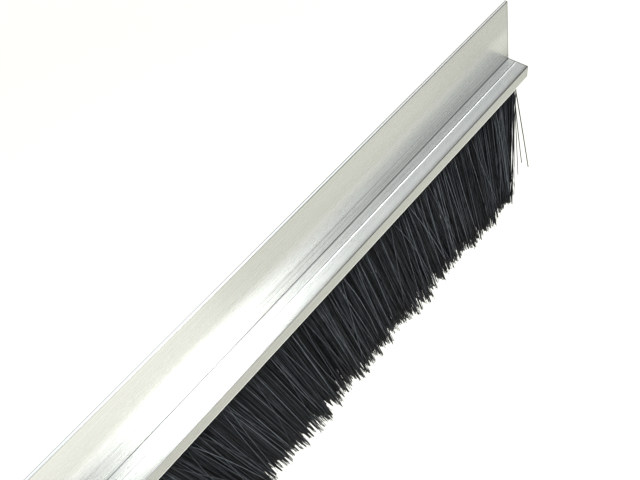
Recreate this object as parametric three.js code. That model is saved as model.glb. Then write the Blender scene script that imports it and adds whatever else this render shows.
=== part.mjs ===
// Brush door sweep: an aluminium holder extrusion that is fixed along the foot of a door, and
// a strip brush that slides into its channel. The strip brush is a folded steel backing
// channel that grips filaments looped round a core wire. The free filaments hang below the
// holder and flex about an effective pivot a little way under its mouth.
//
// Frame: the origin is the middle of the holder's rear face, which lies against the door.
// +X runs along the strip, +Y points into the door, +Z is up. Units are millimetres.

import * as THREE from 'three';

// Driving dimensions.
const LENGTH = 914.4;                // strip length, 36 in
const HOLDER_HEIGHT = 38.1;          // 1 1/2 in, flange and box together
const FLANGE_THICKNESS = 1.25;
const BOX_HEIGHT = 7.2;
const BOX_PROJECTION = 10.1;         // box front, measured from the flange's front face
const ROOF_THICKNESS = 1.2;          // box wall above the brush
const FRONT_THICKNESS = 1.4;         // box wall in front of the brush
const LIP_THICKNESS = 1.2;           // the two lips that carry the brush
const FRONT_LEAN = 0.6;              // how far the box front leans back at its foot
const SLOT_WIDTH = 6.2;              // mouth between the lips
const FREE_LENGTH = 76.2;            // filaments below the box, 3 in
const GAP = 0.3;                     // clearance between neighbouring pieces

// Ridge rolled along the top of the box.
const RIDGE_OFFSET = 4.1;            // crest, measured from the flange's front face
const RIDGE_HEIGHT = 0.14;
const RIDGE_REAR_RUN = 0.12;         // steep side, towards the flange
const RIDGE_FRONT_RUN = 0.36;        // shallow side, towards the front

// Strip brush.
const BACKING_WIDTH = 7.8;
const BACKING_THICKNESS = 0.6;
const BACKING_CRIMP = 0.35;          // how far each leg leans in over the filaments
const BACKING_INSET = 1.0;           // backing and wire stop short of the holder's ends
const WIRE_RADIUS = 0.8;
const WIRE_COVER = 0.6;              // filaments over the wire
const FOLD_WIDTH = 6.0;              // filament pack where it loops round the wire
const NECK_WIDTH = 5.2;              // filament pack where it leaves the holder
const TIP_WIDTH = 9.0;               // filament pack at the tips
const FILAMENT_INSET = 3.5;          // filaments stop short of the holder's ends
const TUFTS = 36;
const PIVOT_FRACTION = 0.15;         // pivot depth of a bending filament over its free length

// Levels and stations that follow.
const topZ = HOLDER_HEIGHT / 2;
const bottomZ = -HOLDER_HEIGHT / 2;
const roofZ = bottomZ + BOX_HEIGHT;
const frontY = -FLANGE_THICKNESS - BOX_PROJECTION;
const cavityRearY = -FLANGE_THICKNESS;
const cavityFrontY = frontY + FRONT_THICKNESS;
const cavityTopZ = roofZ - ROOF_THICKNESS;
const cavityFloorZ = bottomZ + LIP_THICKNESS;
const brushY = (cavityRearY + cavityFrontY) / 2;
const backingTopZ = cavityTopZ - GAP;
const backingBottomZ = cavityFloorZ + GAP;
const foldTopZ = backingTopZ - BACKING_THICKNESS - GAP;
const wireZ = foldTopZ - WIRE_COVER - GAP - WIRE_RADIUS;
const pivotZ = bottomZ - PIVOT_FRACTION * FREE_LENGTH;
const tipZ = bottomZ - FREE_LENGTH;
const filamentLength = LENGTH - 2 * FILAMENT_INSET;

const millAluminium = new THREE.MeshStandardMaterial({
  name: 'mill_aluminium', color: 0xc9cac4, roughness: 0.34, metalness: 1.0,
});
const galvanisedSteel = new THREE.MeshStandardMaterial({
  name: 'galvanised_steel', color: 0x9fa3a6, roughness: 0.45, metalness: 1.0,
});
const steelWire = new THREE.MeshStandardMaterial({
  name: 'steel_wire', color: 0x85888a, roughness: 0.35, metalness: 1.0,
});
const blackFilament = new THREE.MeshStandardMaterial({
  name: 'black_filament', color: 0x17181b, roughness: 0.42, metalness: 0.0,
});

// A closed outline through [y, z, radius] corners, each rounded by its own radius.
function roundedOutline(corners) {
  const outline = new THREE.Shape();
  corners.forEach(([y, z, radius = 0], index) => {
    const corner = new THREE.Vector2(y, z);
    const [beforeY, beforeZ] = corners.at(index - 1);
    const [afterY, afterZ] = corners[(index + 1) % corners.length];
    const enter = new THREE.Vector2(beforeY, beforeZ).sub(corner).setLength(radius).add(corner);
    const leave = new THREE.Vector2(afterY, afterZ).sub(corner).setLength(radius).add(corner);
    if (index === 0) {
      outline.moveTo(enter.x, enter.y);
    } else {
      outline.lineTo(enter.x, enter.y);
    }
    if (radius > 0) {
      outline.quadraticCurveTo(y, z, leave.x, leave.y);
    }
  });
  outline.closePath();
  return outline;
}

// One piece drawn as its outline across the strip and run lengthwise from startX.
function lengthwisePiece(name, outline, startX, length, material) {
  const geometry = new THREE.ExtrudeGeometry(outline, {
    depth: length, bevelEnabled: false, curveSegments: 8,
  });
  const piece = new THREE.Mesh(geometry, material);
  piece.name = name;
  piece.position.z = startX;
  return piece;
}

// The extrusion: a thin mounting flange whose foot is the rear wall of a lipped box channel.
function holderExtrusion() {
  const crestY = -FLANGE_THICKNESS - RIDGE_OFFSET;
  const outline = roundedOutline([
    [0, bottomZ, 0.3],
    [0, topZ, 0.25],
    [-FLANGE_THICKNESS, topZ, 0.25],
    [-FLANGE_THICKNESS, roofZ, 0.4],
    [crestY + RIDGE_REAR_RUN, roofZ],
    [crestY, roofZ + RIDGE_HEIGHT, 0.05],
    [crestY - RIDGE_FRONT_RUN, roofZ],
    [frontY, roofZ, 0.5],
    [frontY + FRONT_LEAN, bottomZ, 0.7],
    [brushY - SLOT_WIDTH / 2, bottomZ, 0.2],
    [brushY - SLOT_WIDTH / 2, cavityFloorZ, 0.2],
    [cavityFrontY, cavityFloorZ, 0.3],
    [cavityFrontY, cavityTopZ, 0.3],
    [cavityRearY, cavityTopZ, 0.3],
    [cavityRearY, cavityFloorZ, 0.3],
    [brushY + SLOT_WIDTH / 2, cavityFloorZ, 0.2],
    [brushY + SLOT_WIDTH / 2, bottomZ, 0.2],
  ]);
  return lengthwisePiece('holder_extrusion', outline, -LENGTH / 2, LENGTH, millAluminium);
}

// The folded steel strip: an inverted U whose legs lean in at the foot to grip the filaments.
function backingChannel() {
  const outerHalf = BACKING_WIDTH / 2;
  const innerHalf = outerHalf - BACKING_THICKNESS;
  const innerTopZ = backingTopZ - BACKING_THICKNESS;
  const crimpZ = (innerTopZ + backingBottomZ) / 2;
  const outline = roundedOutline([
    [brushY + outerHalf - BACKING_CRIMP, backingBottomZ, 0.1],
    [brushY + outerHalf, crimpZ],
    [brushY + outerHalf, backingTopZ, 1.1],
    [brushY - outerHalf, backingTopZ, 1.1],
    [brushY - outerHalf, crimpZ],
    [brushY - outerHalf + BACKING_CRIMP, backingBottomZ, 0.1],
    [brushY - innerHalf + BACKING_CRIMP, backingBottomZ, 0.1],
    [brushY - innerHalf, crimpZ],
    [brushY - innerHalf, innerTopZ, 0.6],
    [brushY + innerHalf, innerTopZ, 0.6],
    [brushY + innerHalf, crimpZ],
    [brushY + innerHalf - BACKING_CRIMP, backingBottomZ, 0.1],
  ]);
  const length = LENGTH - 2 * BACKING_INSET;
  return lengthwisePiece('backing_channel', outline, -length / 2, length, galvanisedSteel);
}

// The wire that the filaments are looped over.
function coreWire() {
  const outline = new THREE.Shape();
  outline.absarc(brushY, wireZ, WIRE_RADIUS, 0, 2 * Math.PI);
  const length = LENGTH - 2 * BACKING_INSET;
  return lengthwisePiece('core_wire', outline, -length / 2, length, steelWire);
}

// The clamped part of every filament: over the wire, down between the backing's legs and out
// through the slot to just above the pivot.
function filamentRoots() {
  const foldHalf = FOLD_WIDTH / 2;
  const neckHalf = NECK_WIDTH / 2;
  const shoulderZ = wireZ;
  const neckZ = backingBottomZ + GAP;
  const endZ = pivotZ + neckHalf + GAP;
  const outline = roundedOutline([
    [brushY + neckHalf, endZ],
    [brushY + neckHalf, neckZ],
    [brushY + foldHalf, shoulderZ],
    [brushY + foldHalf, foldTopZ, 1.6],
    [brushY - foldHalf, foldTopZ, 1.6],
    [brushY - foldHalf, shoulderZ],
    [brushY - neckHalf, neckZ],
    [brushY - neckHalf, endZ],
  ]);
  const wireHole = new THREE.Path();
  wireHole.absarc(brushY, wireZ, WIRE_RADIUS + GAP, 0, 2 * Math.PI);
  outline.holes.push(wireHole);
  return lengthwisePiece(
    'filament_roots', outline, -filamentLength / 2, filamentLength, blackFilament,
  );
}

// The free length of one bunch of filaments: round at the pivot and flaring to the tips.
function tuft(index) {
  const neckHalf = NECK_WIDTH / 2;
  const tipHalf = TIP_WIDTH / 2;
  const outline = new THREE.Shape();
  outline.moveTo(brushY - tipHalf, tipZ);
  outline.lineTo(brushY + tipHalf, tipZ);
  outline.lineTo(brushY + neckHalf, pivotZ);
  outline.absarc(brushY, pivotZ, neckHalf, 0, Math.PI);
  outline.closePath();
  const pitch = filamentLength / TUFTS;
  const startX = -filamentLength / 2 + index * pitch + GAP / 2;
  const name = `tuft_${String(index + 1).padStart(2, '0')}`;
  return lengthwisePiece(name, outline, startX, pitch - GAP, blackFilament);
}

// The outlines above are drawn across the strip, so this group turns their first axis to +Y,
// their second to +Z and the direction they are run in to +X.
const acrossStrip = new THREE.Matrix4().makeBasis(
  new THREE.Vector3(0, 1, 0),
  new THREE.Vector3(0, 0, 1),
  new THREE.Vector3(1, 0, 0),
);
const doorSweep = new THREE.Group();
doorSweep.quaternion.setFromRotationMatrix(acrossStrip);
doorSweep.add(holderExtrusion());

const stripBrush = new THREE.Group();
stripBrush.add(backingChannel(), coreWire(), filamentRoots());
for (let index = 0; index < TUFTS; index += 1) {
  stripBrush.add(tuft(index));
}
doorSweep.add(stripBrush);

export default doorSweep;
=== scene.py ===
"""Brush door sweep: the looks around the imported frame.

The aluminium holder, the steel backing and the wire are the CAD solids with better materials.
The filaments are made here, strand by strand, and stand for the CAD's plain tuft solids.
Everything is in metres in the frame's own axes: +X along the strip, +Y into the door, +Z up.
"""

import math

import bpy
import numpy as np
from mathutils import Euler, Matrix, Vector


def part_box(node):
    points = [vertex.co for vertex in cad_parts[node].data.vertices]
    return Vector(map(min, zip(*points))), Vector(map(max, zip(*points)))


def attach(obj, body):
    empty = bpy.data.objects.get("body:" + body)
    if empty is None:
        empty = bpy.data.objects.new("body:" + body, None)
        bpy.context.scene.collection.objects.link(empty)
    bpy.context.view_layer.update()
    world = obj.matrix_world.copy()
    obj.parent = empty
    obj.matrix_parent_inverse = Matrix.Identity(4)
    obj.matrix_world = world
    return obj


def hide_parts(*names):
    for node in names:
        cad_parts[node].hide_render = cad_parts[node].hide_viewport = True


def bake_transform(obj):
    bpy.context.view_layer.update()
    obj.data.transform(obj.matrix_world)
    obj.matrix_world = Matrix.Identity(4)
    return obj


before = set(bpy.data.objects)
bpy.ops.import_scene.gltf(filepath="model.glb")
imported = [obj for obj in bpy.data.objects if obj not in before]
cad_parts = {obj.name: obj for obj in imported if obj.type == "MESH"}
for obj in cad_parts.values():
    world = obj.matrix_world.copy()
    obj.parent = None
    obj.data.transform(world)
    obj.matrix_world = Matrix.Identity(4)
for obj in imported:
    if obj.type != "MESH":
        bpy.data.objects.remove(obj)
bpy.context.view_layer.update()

MM = 0.001
SEED = 41

# Levels and places, all taken from the frame.
holder_low, holder_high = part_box("holder_extrusion")
backing_low, backing_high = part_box("backing_channel")
wire_low, wire_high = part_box("core_wire")
roots_low, roots_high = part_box("filament_roots")
TUFTS = sorted(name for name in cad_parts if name.startswith("tuft_"))
TIP_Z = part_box(TUFTS[0])[0].z
MOUTH_Z = holder_low.z
BRUSH_Y = (backing_low.y + backing_high.y) / 2
WIRE_Z = (wire_low.z + wire_high.z) / 2
WIRE_RADIUS = (wire_high.z - wire_low.z) / 2
FREE_LENGTH = MOUTH_Z - TIP_Z
END_X = roots_high.x
TUFT_PITCH = (roots_high.x - roots_low.x) / len(TUFTS)
FOLD_HALF = (roots_high.y - roots_low.y) / 2

# The filament pack's half thickness where it leaves the holder and at its tips.
NECK_HALF = 2.6 * MM
TIP_HALF = 4.5 * MM

# The holder's corners: flange front, roof of the box, front of the box and crest of the ridge.
FLANGE_FRONT = -1.25 * MM
ROOF_Z = holder_low.z + 7.2 * MM
FRONT_Y = holder_low.y
CREST_Y = FLANGE_FRONT - 4.1 * MM

# The holder's colours and marks. A line along the strip is (y, z, half width, strength).
FLANGE_COLOR = (0.463, 0.465, 0.434)
# painted shade: the box front is a darker copy of the flange's aluminium colour
BOX_FRONT_SHADED_COLOR = (0.402, 0.403, 0.374)
# painted light and shade on the roof: light at the rear by the flange, dark towards the front
ROOF_REAR_LIT_COLOR = (0.800, 0.818, 0.816)
ROOF_FRONT_SHADED_COLOR = (0.335, 0.343, 0.340)
# painted sheen: a lighter band along the middle of the flange
PAINTED_SHEEN_COLOR = (0.560, 0.564, 0.534, 1.0)
# painted shade: the colour of the dark lines along the holder's edges and creases
PAINTED_SHADE_COLOR = (0.045, 0.045, 0.042, 1.0)
SCORE_COLOR = (0.12, 0.12, 0.125, 1.0)
# painted shade along the sawn ends
END_EDGE_SHADE_COLOR = (0.10, 0.10, 0.10, 1.0)
# painted highlight: a light line along the box front's bottom edge
PAINTED_HIGHLIGHT_COLOR = (0.95, 0.95, 0.90, 1.0)
SCORE_HEIGHT = 11 * MM                 # the scores reach this far up the flange from the box
SHADE_LINES_FADE_X = holder_high.x - 180 * MM   # from here the painted shade lines grow stronger towards the open end, over the run below
SHADE_LINES_FADE_RUN = 60 * MM
# where the painted sheen band runs along the flange
PAINTED_SHEEN_BAND = (FLANGE_FRONT, -0.5 * MM, 7.5 * MM, 0.8)
# where the painted highlight runs, along the box front's bottom edge
PAINTED_HIGHLIGHT_LINE = (FRONT_Y + 0.60 * MM, MOUTH_Z + 0.45 * MM, 0.6 * MM, 0.95)
# painted shade lines: along both top edges of the flange, in the crease between flange and roof with a
# broad soft shade above it, behind the ridge's crest and along the roof's front edge
PAINTED_SHADE_LINES = (
    (FLANGE_FRONT, holder_high.z, 0.42 * MM, 0.85),
    (0.0, holder_high.z, 0.58 * MM, 0.92),
    (FLANGE_FRONT, ROOF_Z, 0.52 * MM, 0.85),
    (FLANGE_FRONT, ROOF_Z, 6.0 * MM, 0.15),
    (CREST_Y + 0.22 * MM, ROOF_Z, 0.24 * MM, 0.8),
    (FRONT_Y + 0.22 * MM, ROOF_Z - 0.12 * MM, 0.40 * MM, 0.9),
)

# Stage.
FLOOR_Z = TIP_Z - 0.30
# painted light: the floor is darker near the part, under the lamps, and paler far off
FLOOR_COLOR = (0.725, 0.715, 0.655)
FAR_FLOOR_COLOR = (0.90, 0.90, 0.86)

# Strands in each tuft. Leans are sideways run over drop, towards +X.
ROWS = 5                            # of strands through the brush, front to rear
STRAND_PITCH = 0.27 * MM            # along one row
LOOSE_STRANDS = 150                 # besides the rows
STRAYS = 14                         # of the loose strands, those that lie across the outside
STRAND_RADIUS = 0.14 * MM
INNER_RADIUS = 0.27 * MM            # the middle row is packed close, so that no light comes through
STRAY_RADIUS = 0.105 * MM
SIDES = 3
LOOPS_AT_AN_END = 260               # strands that are seen looped over the wire
ROW_LEAN = 0.008                    # how much the leans vary, in the rows
LOOSE_LEAN = 0.03
STRAY_LEAN = 0.065
ROW_BOW = 0.015                     # how much the sideways curves vary
STRAY_BOW = 0.045
INNER_CALM = 0.06                   # the middle row's share of that variation
INNER_SHORTFALL = 1.5 * MM
STRAY_SHORTFALL = 9 * MM            # at most
CUT_VARIATION = 0.16 * MM           # of lengths within one bunch
LONGEST = FREE_LENGTH + 2.5 * MM
MEAN_LEAN = 0.15
END_LEAN = -0.10                    # at the open end the strands lean back a little
END_FADE = 22 * MM
END_SETBACK = 5.5 * MM              # the tips stay this far inside the last root

# Bunches of strands that end together.
BUNCH_PITCH = 1.9 * MM
BUNCH_LEAN = 0.012
SLOW_DROP = 0.7 * MM                # how much the tips vary, over many bunches
STEP_DROP = 1.8 * MM                # the same for three bunches at a time
OWN_DROP = 2.0 * MM                 # and for each bunch alone
MEAN_SHORTFALL = 1.5 * MM

# Where a strand has its rings, as shares of its length, and how bright its tone is at each.
STATIONS = np.array([-0.040, 0.0, 0.08, 0.16, 0.26, 0.40, 0.62, 0.84, 0.94, 1.0])
# painted shade: the tone is held dark where the strands leave the mouth under the box, and it also fades
# dark towards the tips
TONE_FADE = np.array([0.0, 0.15, 0.8, 1.0, 1.0, 1.0, 1.0, 0.95, 0.6, 0.0])


def add_object(name, data):
    """A new object in the scene."""
    piece = bpy.data.objects.new(name, data)
    bpy.context.scene.collection.objects.link(piece)
    return piece


# ---------------------------------------------------------------- node helpers

class Material:
    """A Principled material with short calls for the nodes that these looks use."""

    def __init__(self, name, color, roughness, metallic=0.0):
        self.data = bpy.data.materials.new(name)
        self.data.use_nodes = True
        self.nodes = self.data.node_tree.nodes
        self.links = self.data.node_tree.links
        self.shader = self.nodes["Principled BSDF"]
        self.shader.inputs["Base Color"].default_value = (*color, 1.0)
        self.shader.inputs["Roughness"].default_value = roughness
        self.shader.inputs["Metallic"].default_value = metallic

    def link(self, source, target):
        self.links.new(source, target)

    def position(self, scale=(1.0, 1.0, 1.0)):
        """Object coordinates in metres, stretched by scale."""
        coordinates = self.nodes.new("ShaderNodeTexCoord")
        mapping = self.nodes.new("ShaderNodeMapping")
        mapping.inputs["Scale"].default_value = scale
        self.link(coordinates.outputs["Object"], mapping.inputs["Vector"])
        return mapping.outputs["Vector"]

    def noise(self, vector, scale, detail, roughness=0.5):
        noise = self.nodes.new("ShaderNodeTexNoise")
        noise.inputs["Scale"].default_value = scale
        noise.inputs["Detail"].default_value = detail
        noise.inputs["Roughness"].default_value = roughness
        self.link(vector, noise.inputs["Vector"])
        return noise.outputs["Fac"]

    def remap(self, value, low, high, to_low, to_high):
        """value stretched from low..high to to_low..to_high, and held there beyond them."""
        remap = self.nodes.new("ShaderNodeMapRange")
        remap.inputs["From Min"].default_value = low
        remap.inputs["From Max"].default_value = high
        remap.inputs["To Min"].default_value = to_low
        remap.inputs["To Max"].default_value = to_high
        self.link(value, remap.inputs["Value"])
        return remap.outputs["Result"]

    def math(self, operation, a, b=None):
        """A Math node. a and b are numbers or sockets."""
        node = self.nodes.new("ShaderNodeMath")
        node.operation = operation
        for socket, value in zip(node.inputs, (a, b)):
            if value is None:
                continue
            if isinstance(value, (int, float)):
                socket.default_value = value
            else:
                self.link(value, socket)
        return node.outputs["Value"]

    def length(self, a, b):
        """The length of the flat vector (a, b)."""
        square = self.math("ADD", self.math("MULTIPLY", a, a), self.math("MULTIPLY", b, b))
        return self.math("SQRT", square)

    def ramp(self, value, stops):
        ramp = self.nodes.new("ShaderNodeValToRGB")
        elements = ramp.color_ramp.elements
        while len(elements) < len(stops):
            elements.new(0.5)
        for element, (place, color) in zip(elements, stops):
            element.position = place
            element.color = (*color, 1.0)
        self.link(value, ramp.inputs["Fac"])
        return ramp.outputs["Color"]

    def bump(self, height, strength, distance):
        bump = self.nodes.new("ShaderNodeBump")
        bump.inputs["Strength"].default_value = strength
        bump.inputs["Distance"].default_value = distance
        self.link(height, bump.inputs["Height"])
        self.link(bump.outputs["Normal"], self.shader.inputs["Normal"])

    def blend(self, amount, first, second):
        """first where amount is 0, second where it is 1."""
        mix = self.nodes.new("ShaderNodeMix")
        mix.data_type = "RGBA"
        self.link(amount, mix.inputs["Factor"])
        for socket, value in ((mix.inputs[6], first), (mix.inputs[7], second)):
            if isinstance(value, tuple):
                socket.default_value = value
            else:
                self.link(value, socket)
        return mix.outputs[2]

    def axes(self, source="Object"):
        """Object coordinates or the object's own normal, as separate X, Y and Z."""
        coordinates = self.nodes.new("ShaderNodeTexCoord")
        split = self.nodes.new("ShaderNodeSeparateXYZ")
        self.link(coordinates.outputs[source], split.inputs["Vector"])
        return split.outputs["X"], split.outputs["Y"], split.outputs["Z"]

    def grain(self, tone, color):
        """A colour that turns a little darker and lighter with tone."""
        steps = ((0.30, 0.966), (0.55, 1.0), (0.75, 1.034))
        return self.ramp(tone, [(place, tuple(c * factor for c in color)) for place, factor in steps])

    def upward(self):
        """1 on faces that look up."""
        return self.remap(self.axes("Normal")[2], 0.3, 0.8, 0.0, 1.0)

    def flange_foot(self):
        """1 on the flange just above the box, where the die left its scores, fading out upwards."""
        _, across, up = self.axes()
        low_down = self.remap(up, ROOF_Z + 0.6 * SCORE_HEIGHT, ROOF_Z + SCORE_HEIGHT, 1.0, 0.0)
        on_flange = self.remap(across, FLANGE_FRONT - 0.2 * MM, FLANGE_FRONT - 0.1 * MM, 0.0, 1.0)
        return self.math("MULTIPLY", low_down, on_flange)

    def shaded_end_edge(self):
        """Painted shade along both sawn ends."""
        along = self.math("ABSOLUTE", self.axes()[0])
        return self.remap(along, holder_high.x - 0.7 * MM, holder_high.x - 0.4 * MM, 0.0, 0.6)

    def line_at(self, y, z, width, strength):
        """A soft line along the strip at (y, z), fading out width metres to each side."""
        _, across, up = self.axes()
        beside = self.math("SUBTRACT", across, y)
        above = self.math("SUBTRACT", up, z)
        distance = self.length(beside, above)
        return self.remap(distance, width * 0.5, width, strength, 0.0)

    def feed(self, value, socket):
        """Link value to one of the shader's own sockets."""
        self.link(value, self.shader.inputs[socket])


# ---------------------------------------------------------------- materials

def mill_aluminium():
    """Mill finish: lengthwise die lines and a slow mottle, with painted shade along the corners and
    creases, a painted sheen and highlight, and faces painted lighter or darker for how light falls on them.
    """
    m = Material("mill_aluminium", FLANGE_COLOR, 0.3, metallic=1.0)
    lines = m.noise(m.position((1.2, 900.0, 900.0)), 1.0, detail=3.0, roughness=0.6)
    broad = m.noise(m.position((1.5, 90.0, 90.0)), 1.0, detail=2.0)
    mottle = m.noise(m.position(), 55.0, detail=4.0, roughness=0.6)
    die_marks = m.noise(m.position((7.0, 1900.0, 1900.0)), 1.0, detail=0.0)
    score = m.math("MULTIPLY", m.remap(die_marks, 0.60, 0.70, 0.0, 0.45), m.flange_foot())
    tone = m.math("ADD", m.math("MULTIPLY", lines, 0.35), m.math("MULTIPLY", broad, 0.65))

    along, across, _ = m.axes()
    # the box front takes the darker copy of the aluminium, which is painted shade
    on_front = m.remap(across, FRONT_Y + 0.8 * MM, FRONT_Y + 1.2 * MM, 1.0, 0.0)
    upright = m.blend(on_front, m.grain(tone, FLANGE_COLOR), m.grain(tone, BOX_FRONT_SHADED_COLOR))
    # a lighter band of painted sheen along the flange
    upright = m.blend(m.line_at(*PAINTED_SHEEN_BAND), upright, PAINTED_SHEEN_COLOR)
    # on faces that look up, the roof is painted light at the rear and shaded towards the front
    outward = m.remap(across, FLANGE_FRONT, FRONT_Y, 0.0, 1.0)
    roof = m.blend(outward, m.grain(tone, ROOF_REAR_LIT_COLOR), m.grain(tone, ROOF_FRONT_SHADED_COLOR))
    color = m.blend(m.upward(), upright, roof)

    color = m.blend(score, color, SCORE_COLOR)
    # the painted shade lines are weaker away from the open end, where the highlight falls
    shade_lines_strength = m.remap(along, SHADE_LINES_FADE_X, SHADE_LINES_FADE_X + SHADE_LINES_FADE_RUN, 0.55, 1.0)
    for line in PAINTED_SHADE_LINES:
        painted_shade = m.math("MULTIPLY", m.line_at(*line), shade_lines_strength)
        color = m.blend(painted_shade, color, PAINTED_SHADE_COLOR)
    # painted shade along both sawn ends
    color = m.blend(m.shaded_end_edge(), color, END_EDGE_SHADE_COLOR)
    # a painted highlight along the box front's bottom edge
    color = m.blend(m.line_at(*PAINTED_HIGHLIGHT_LINE), color, PAINTED_HIGHLIGHT_COLOR)
    m.feed(color, "Base Color")

    line_gloss = m.remap(lines, 0.3, 0.7, 0.24, 0.31)
    mottled_gloss = m.remap(mottle, 0.3, 0.7, -0.012, 0.012)
    m.feed(m.math("ADD", line_gloss, mottled_gloss), "Roughness")
    m.bump(lines, 0.18, 0.02 * MM)
    return m.data


def galvanised_steel():
    """Zinc spangle over folded strip."""
    m = Material("galvanised_steel", (0.46, 0.48, 0.49), 0.42, metallic=1.0)
    voronoi = m.nodes.new("ShaderNodeTexVoronoi")
    voronoi.inputs["Scale"].default_value = 700.0
    m.link(m.position(), voronoi.inputs["Vector"])
    spangle = m.math("ADD", m.math("MULTIPLY", voronoi.outputs["Distance"], 0.7), 0.15)
    m.feed(m.ramp(spangle, (
        (0.1, (0.40, 0.42, 0.43)),
        (0.7, (0.55, 0.57, 0.58)),
    )), "Base Color")
    m.feed(m.remap(spangle, 0.1, 0.7, 0.35, 0.5), "Roughness")
    return m.data


def steel_wire():
    """Drawn wire: fine lines along its length."""
    m = Material("steel_wire", (0.42, 0.43, 0.44), 0.32, metallic=1.0)
    lines = m.noise(m.position((4.0, 2500.0, 2500.0)), 1.0, detail=2.0)
    m.feed(m.ramp(lines, (
        (0.3, (0.34, 0.35, 0.36)),
        (0.7, (0.48, 0.49, 0.50)),
    )), "Base Color")
    m.feed(m.remap(lines, 0.3, 0.7, 0.26, 0.4), "Roughness")
    return m.data


def black_filament():
    """Black nylon: each strand has its own tone, the lightest of them painted highlights, with a slight
    haze of dust along it.
    """
    m = Material("black_filament", (0.012, 0.013, 0.016), 0.38)
    strand = m.nodes.new("ShaderNodeAttribute")
    strand.attribute_name = "strand_tone"
    haze = m.noise(m.position(), 350.0, detail=2.0)
    own_tone = strand.outputs["Fac"]
    tone = m.math("ADD", m.math("MULTIPLY", own_tone, 0.8), m.math("MULTIPLY", haze, 0.2))
    # strand tones differ at random, and the light end of this ramp is painted highlight on single strands
    m.feed(m.ramp(tone, (
        (0.0, (0.0010, 0.0012, 0.0016)),
        (0.35, (0.009, 0.010, 0.0122)),
        (0.65, (0.036, 0.040, 0.047)),
        (0.95, (0.17, 0.187, 0.205)),
    )), "Base Color")
    m.feed(m.remap(own_tone, 0.0, 1.0, 0.46, 0.3), "Roughness")
    m.shader.inputs["Specular IOR Level"].default_value = 0.05
    return m.data


# ---------------------------------------------------------------- filaments

def tube_mesh(name, paths, radius, tones, fade):
    """One mesh of closed strands.

    paths is (strand, station, xyz), radius and tones are one value a strand, and fade scales the
    tone at each station.
    """
    count, stations, _ = paths.shape
    tangent = np.gradient(paths, axis=1)
    tangent /= np.linalg.norm(tangent, axis=2, keepdims=True)
    reference = np.broadcast_to(np.array([1.0, 0.0, 0.0]), tangent.shape)
    across = np.cross(tangent, reference)
    across /= np.linalg.norm(across, axis=2, keepdims=True)
    beside = np.cross(tangent, across)
    turn = np.random.default_rng(SEED + count).uniform(0, 2 * math.pi, count)
    angles = turn[:, None] + np.arange(SIDES) * 2 * math.pi / SIDES
    ring = (np.cos(angles)[:, None, :, None] * across[:, :, None, :]
            + np.sin(angles)[:, None, :, None] * beside[:, :, None, :])
    points = paths[:, :, None, :] + radius[:, None, None, None] * ring
    vertices = points.reshape(-1, 3)

    start = np.arange(count)[:, None, None] * stations * SIDES
    row = np.arange(stations - 1)[None, :, None] * SIDES
    column = np.arange(SIDES)[None, None, :]
    beyond = (column + 1) % SIDES
    low, high = start + row, start + row + SIDES
    quads = np.stack([low + column, low + beyond, high + beyond, high + column], axis=-1).reshape(-1, 4)
    first = (np.arange(count) * stations * SIDES)[:, None]
    last = first + (stations - 1) * SIDES
    caps_near = first + np.arange(SIDES)[::-1]
    caps_far = last + np.arange(SIDES)
    faces = quads.tolist() + caps_near.tolist() + caps_far.tolist()

    mesh = bpy.data.meshes.new(name)
    mesh.from_pydata(vertices.tolist(), [], faces)
    smooth = np.zeros(len(faces), dtype=bool)
    smooth[:len(quads)] = True
    mesh.polygons.foreach_set("use_smooth", smooth)
    attribute = mesh.attributes.new("strand_tone", "FLOAT", "POINT")
    along = tones[:, None] * fade[None, :]
    attribute.data.foreach_set("value", np.repeat(along.reshape(-1), SIDES).astype(np.float32))
    mesh.update()
    return add_object(name, mesh)


def running_mean(values, width):
    """values smoothed over width neighbours, with their spread kept."""
    return np.convolve(values, np.ones(width) / width ** 0.5, mode="same")


def bunch_table(seed):
    """Small bunches of strands that end together, along the whole strip."""
    rng = np.random.default_rng(seed)
    count = int((roots_high.x - roots_low.x) / BUNCH_PITCH) + 12
    places = roots_low.x + (np.arange(count) - 5 + rng.uniform(-0.45, 0.45, count)) * BUNCH_PITCH
    slow = running_mean(rng.normal(0.0, 1.0, count), 7)
    steps = np.repeat(rng.normal(0.0, 1.0, count // 3 + 1), 3)[:count]
    own = rng.normal(0.0, OWN_DROP, count)
    return {
        "x": places,
        "drop": SLOW_DROP * slow + STEP_DROP * steps + own - MEAN_SHORTFALL,
        "lean": BUNCH_LEAN * running_mean(rng.normal(0.0, 1.0, count), 3),
        "gather": rng.uniform(0.2, 0.7, count),
    }


def mean_lean(x):
    """Strands lean towards +X by a slowly changing amount, and straighten up at the open end."""
    inboard = np.clip((END_X - x) / END_FADE, 0.0, None)
    drift = 0.03 * np.sin(x / (19 * MM)) * np.sin(x / (47 * MM) + 1.0)
    return END_LEAN + (MEAN_LEAN + drift - END_LEAN) * (1.0 - np.exp(-inboard))


def strand_paths(x, y, lean, front, length, bow, gather):
    """Strand centre lines, from inside the channel down to the tips.

    lean and front are run over drop along X and Y, bow is a sideways curve, and gather is how far
    the last stretch bends over towards the middle of its bunch.
    """
    drop = STATIONS[None, :] * length[:, None]
    below = np.clip(drop, 0.0, None)
    reach = below / length[:, None]
    run = lean[:, None] * below + bow[:, None] * reach * (1 - reach) * FREE_LENGTH
    run = run + gather[:, None] * reach ** 5
    depth = y[:, None] + front[:, None] * below
    slope = np.sqrt(1.0 + lean ** 2 + front ** 2)[:, None]
    z = MOUTH_Z - drop / slope
    return np.stack([x[:, None] + run, depth, z], axis=-1)


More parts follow.
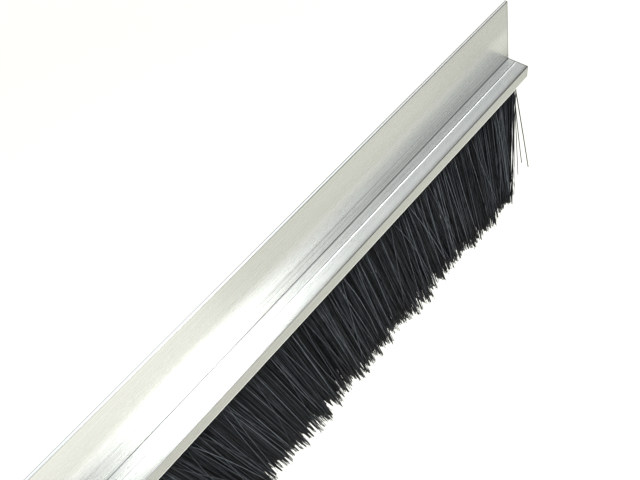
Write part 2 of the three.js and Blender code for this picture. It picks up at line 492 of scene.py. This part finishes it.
def tuft_strands(index, front_bunches, rear_bunches):
    """Every strand of one tuft: even rows, loose strands through them and strays over them."""
    rng = np.random.default_rng(SEED + 1000 + index)
    start = roots_low.x + index * TUFT_PITCH
    per_row = int(TUFT_PITCH / STRAND_PITCH)
    even = per_row * ROWS
    n = even + LOOSE_STRANDS
    row = np.arange(even) // per_row
    middle = row == ROWS // 2
    jitter = rng.uniform(-0.4, 0.4, even) * np.where(middle, 0.3, 1.0)
    even_x = start + (np.arange(even) % per_row + 0.5 + jitter) * TUFT_PITCH / per_row
    x = np.concatenate([even_x, start + rng.uniform(0.0, TUFT_PITCH, LOOSE_STRANDS)])
    even_across = (row + 0.5 + rng.uniform(-0.35, 0.35, even)) * 2 / ROWS - 1
    across = np.concatenate([even_across, rng.uniform(-1.0, 1.0, LOOSE_STRANDS)])
    stray = np.arange(n) >= n - STRAYS
    side = np.where(rng.uniform(size=n) < 0.6, -1.0, 1.0)
    across = np.where(stray, side * 1.04, across)

    spread = np.where(np.arange(n) < even, ROW_LEAN, LOOSE_LEAN)
    inner = np.concatenate([middle, np.zeros(LOOSE_STRANDS, dtype=bool)])
    calm = np.where(inner, INNER_CALM, 1.0)
    own = rng.normal(0.0, 1.0, n) * spread * calm + stray * rng.normal(0.0, STRAY_LEAN, n)
    length = np.empty(n)
    gather = np.empty(n)
    wander = np.empty(n)
    for bunches, chosen in ((front_bunches, across < 0), (rear_bunches, across >= 0)):
        wander[chosen] = calm[chosen] * np.interp(x[chosen], bunches["x"], bunches["lean"])
        landing = x[chosen] + (own[chosen] + wander[chosen]) * FREE_LENGTH
        member = np.abs(landing[:, None] - bunches["x"][None, :]).argmin(axis=1)
        length[chosen] = FREE_LENGTH + bunches["drop"][member]
        gather[chosen] = calm[chosen] * bunches["gather"][member] * (bunches["x"][member] - landing)
    length = length + rng.normal(0.0, CUT_VARIATION, n) - inner * INNER_SHORTFALL
    length = length - stray * rng.uniform(0.0, STRAY_SHORTFALL, n)
    length = np.clip(length, None, LONGEST)

    lean = mean_lean(x) + wander + own
    lean = np.minimum(lean, np.clip((END_X - END_SETBACK - x) / FREE_LENGTH, END_LEAN, None))
    front = across * (TIP_HALF - NECK_HALF) / FREE_LENGTH + rng.normal(0.0, 0.004, n)
    y = BRUSH_Y + across * (NECK_HALF - STRAND_RADIUS)
    bow = rng.normal(0.0, np.where(stray, STRAY_BOW, ROW_BOW) * calm, n)
    tones = np.where(stray, rng.uniform(0.75, 1.0, n), rng.beta(1.0, 1.9, n))
    radius = np.select([stray, inner], [STRAY_RADIUS, INNER_RADIUS], STRAND_RADIUS)
    return strand_paths(x, y, lean, front, length, bow, gather), radius, tones


def open_end_strays():
    """The few loose strands that hang clear of the brush at its open end."""
    x = END_X + np.array([-0.3, -0.2, -0.1, 0.0]) * MM
    y = BRUSH_Y + np.array([-0.6, -0.8, -0.5, -0.6]) * MM
    lean = np.array([0.0, 0.046, 0.107, 0.169])
    front = np.array([0.0, 0.002, 0.0, -0.002])
    length = np.array([59.0, 68.0, 63.0, 72.0]) * MM
    bow = np.array([0.01, 0.0, -0.02, 0.01])
    tones = np.array([0.3, 0.3, 0.1, 0.1])
    radius = np.array([0.21, 0.21, 0.27, 0.27]) * MM
    return strand_paths(x, y, lean, front, length, bow, np.zeros(4)), radius, tones


def make_tufts(material):
    """The free filaments, one piece for each CAD tuft."""
    front_bunches = bunch_table(SEED)
    rear_bunches = bunch_table(SEED + 1)
    for index, node in enumerate(TUFTS):
        paths, radius, tones = tuft_strands(index, front_bunches, rear_bunches)
        if index == len(TUFTS) - 1:
            stray_paths, stray_radius, stray_tones = open_end_strays()
            paths = np.concatenate([paths, stray_paths])
            radius = np.concatenate([radius, stray_radius])
            tones = np.concatenate([tones, stray_tones])
        # TONE_FADE paints shade on the strands just below the mouth
        piece = tube_mesh(f"{node}_filaments", paths, radius, tones, TONE_FADE)
        piece.data.materials.append(material)
        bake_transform(piece)
        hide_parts(node)


def extruded_mesh(name, outline, low_x, high_x):
    """A closed solid from a (y, z) outline run from low_x to high_x."""
    n = len(outline)
    vertices = [(low_x, y, z) for y, z in outline] + [(high_x, y, z) for y, z in outline]
    faces = [(i, (i + 1) % n, n + (i + 1) % n, n + i) for i in range(n)]
    faces.append(tuple(range(n))[::-1])
    faces.append(tuple(range(n, 2 * n)))
    mesh = bpy.data.meshes.new(name)
    mesh.from_pydata(vertices, [], faces)
    mesh.update()
    return add_object(name, mesh)


def make_fold(material):
    """The strands looped over the wire: loops at both ends, where they show, and a solid between."""
    foot_z = MOUTH_Z + 0.6 * MM
    inner = WIRE_RADIUS + 0.25 * MM
    outer = FOLD_HALF - 0.1 * MM
    top = roots_high.z - WIRE_Z - 0.1 * MM
    angles = np.linspace(0.0, math.pi, 9)
    rng = np.random.default_rng(SEED + 5)
    loops = []
    for side in (-1, 1):
        for _ in range(LOOPS_AT_AN_END):
            inset = abs(rng.normal(0.0, 1.3 * MM)) + 0.1 * MM
            share = rng.uniform()
            half = inner + share * (outer - inner)
            rise = inner + share * (top - inner)
            squeeze = min(1.0, NECK_HALF / half) - rng.uniform(0.0, 0.08)
            arch = [(BRUSH_Y + half * math.cos(a), WIRE_Z + rise * math.sin(a)) for a in angles]
            foot_y = BRUSH_Y + half * squeeze
            right_foot = [(foot_y, foot_z - 3 * MM), (foot_y, foot_z + 1.5 * MM)]
            left_foot = [(2 * BRUSH_Y - y, z) for y, z in right_foot[::-1]]
            x = (roots_high.x - inset) if side > 0 else (roots_low.x + inset)
            loops.append([(x, y, z) for y, z in right_foot + arch + left_foot])
    paths = np.array(loops)
    radius = np.full(len(loops), STRAND_RADIUS)
    tones = rng.uniform(0.2, 0.7, len(loops))
    ends = tube_mesh("filament_loops", paths, radius, tones, np.ones(paths.shape[1]))
    ends.data.materials.append(material)

    turns = np.linspace(0, math.pi, 17)
    shoulder = [(BRUSH_Y + outer * math.cos(a), WIRE_Z + top * math.sin(a)) for a in turns]
    neck = NECK_HALF - 0.1 * MM
    neck_top = MOUTH_Z + 1.6 * MM
    low = [
        (BRUSH_Y - neck, neck_top),
        (BRUSH_Y - neck, foot_z),
        (BRUSH_Y + neck, foot_z),
        (BRUSH_Y + neck, neck_top),
    ]
    core = extruded_mesh("filament_fold", shoulder + low, roots_low.x + 3 * MM, roots_high.x - 3 * MM)
    core.data.materials.append(material)
    for piece in (ends, core):
        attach(piece, "brush_strip")
        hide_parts("filament_roots")


# ---------------------------------------------------------------- stage, light and camera

def area_light(name, place, aim, size, power):
    """A white rectangular light that the camera itself doesn't see."""
    data = bpy.data.lights.new(name, "AREA")
    data.shape = "RECTANGLE"
    data.size, data.size_y = size
    data.energy = power
    light = add_object(name, data)
    light.location = place
    light.rotation_euler = (Vector(aim) - Vector(place)).to_track_quat("-Z", "Y").to_euler()
    light.visible_camera = False


def make_floor():
    """A pale floor well under the hanging part, painted paler still where it runs off to the back, beyond
    the lamps' light.
    """
    half = 6.0
    thickness = 0.02
    outline = [(-half, FLOOR_Z - thickness), (half, FLOOR_Z - thickness), (half, FLOOR_Z), (-half, FLOOR_Z)]
    floor = extruded_mesh("studio_floor", outline, -half, half)
    m = Material("studio_floor", FLOOR_COLOR, 0.9)
    along, across, _ = m.axes()
    away = m.remap(m.length(along, across), 0.9, 2.0, 0.0, 1.0)
    # painted light: the floor's colour turns paler further from the part
    m.feed(m.ramp(away, ((0.0, FLOOR_COLOR), (1.0, FAR_FLOOR_COLOR))), "Base Color")
    floor.data.materials.append(m.data)


def make_world():
    """Soft light from all round."""
    world = bpy.data.worlds.new("studio")
    world.use_nodes = True
    background = world.node_tree.nodes["Background"]
    background.inputs["Color"].default_value = (0.95, 0.975, 1.0, 1.0)
    background.inputs["Strength"].default_value = 1.35
    bpy.context.scene.world = world


def make_flag():
    """A grey board above and beyond the open end, which the roof reflects at its corner."""
    outline = [(0.02, 0.60), (0.7, 0.60), (0.7, 0.62), (0.02, 0.62)]
    flag = extruded_mesh("studio_flag", outline, 0.74, 1.4)
    flag.data.materials.append(Material("studio_flag", (0.55, 0.55, 0.54), 0.9).data)
    flag.visible_camera = False


def make_lights():
    """Overhead lights that the box and the flange's foot reflect, and low cards for the flange's top."""
    middle = holder_high.x - 0.2
    above = 0.5
    front = -0.32
    area_light("strip_light", (middle + 0.27, 0.03, above), (middle + 0.27, 0.03, 0.0), (0.5, 0.2), 2.5)
    area_light("key_light", (middle + 0.112, front, above), (middle + 0.012, 0.0, 0.0), (0.09, 0.30), 1.5)
    area_light("key_skirt", (middle + 0.245, front, above), (middle + 0.145, 0.0, 0.0), (0.16, 0.30), 0.17)
    cards = (
        ("low_card_near", middle - 0.167, 0.62, 0.86),
        ("low_card_far", middle + 0.303, 0.32, 0.09),
    )
    for name, x, width, power in cards:
        area_light(name, (x, -0.44, FLOOR_Z + 0.02), (x, -0.44, above), (width, 0.36), power)


def make_camera():
    """A normal lens close to the open end, looking down along the strip."""
    corner = Vector((holder_high.x, FLANGE_FRONT, holder_high.z))
    distance = 0.360
    aside, above = math.radians(56.17), math.radians(38.56)
    offset = Vector((
        -math.sin(aside) * math.cos(above),
        -math.cos(aside) * math.cos(above),
        math.sin(above),
    ))
    pan, down, roll = math.radians(44.82), math.radians(49.57), math.radians(9.59)
    data = bpy.data.cameras.new("camera")
    data.lens = 48.2
    data.sensor_width = 36.0
    data.shift_x = -0.125
    data.shift_y = -0.094
    data.clip_start = 0.01
    camera = add_object("camera", data)
    camera.location = corner + offset * distance
    level = Euler((math.pi / 2 - down, 0.0, -pan)).to_matrix()
    camera.rotation_euler = (level @ Euler((0.0, 0.0, -roll)).to_matrix()).to_euler()
    bpy.context.scene.camera = camera


def set_view_transform():
    view = bpy.context.scene.view_settings
    view.view_transform = "Standard"
    view.look = "None"
    view.exposure = 0.0


def paint(node, material):
    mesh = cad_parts[node].data
    mesh.materials.clear()
    mesh.materials.append(material)


make_camera()
make_floor()
make_world()
make_flag()
make_lights()
set_view_transform()
paint("holder_extrusion", mill_aluminium())
paint("backing_channel", galvanised_steel())
paint("core_wire", steel_wire())
filament = black_filament()
make_tufts(filament)
make_fold(filament)
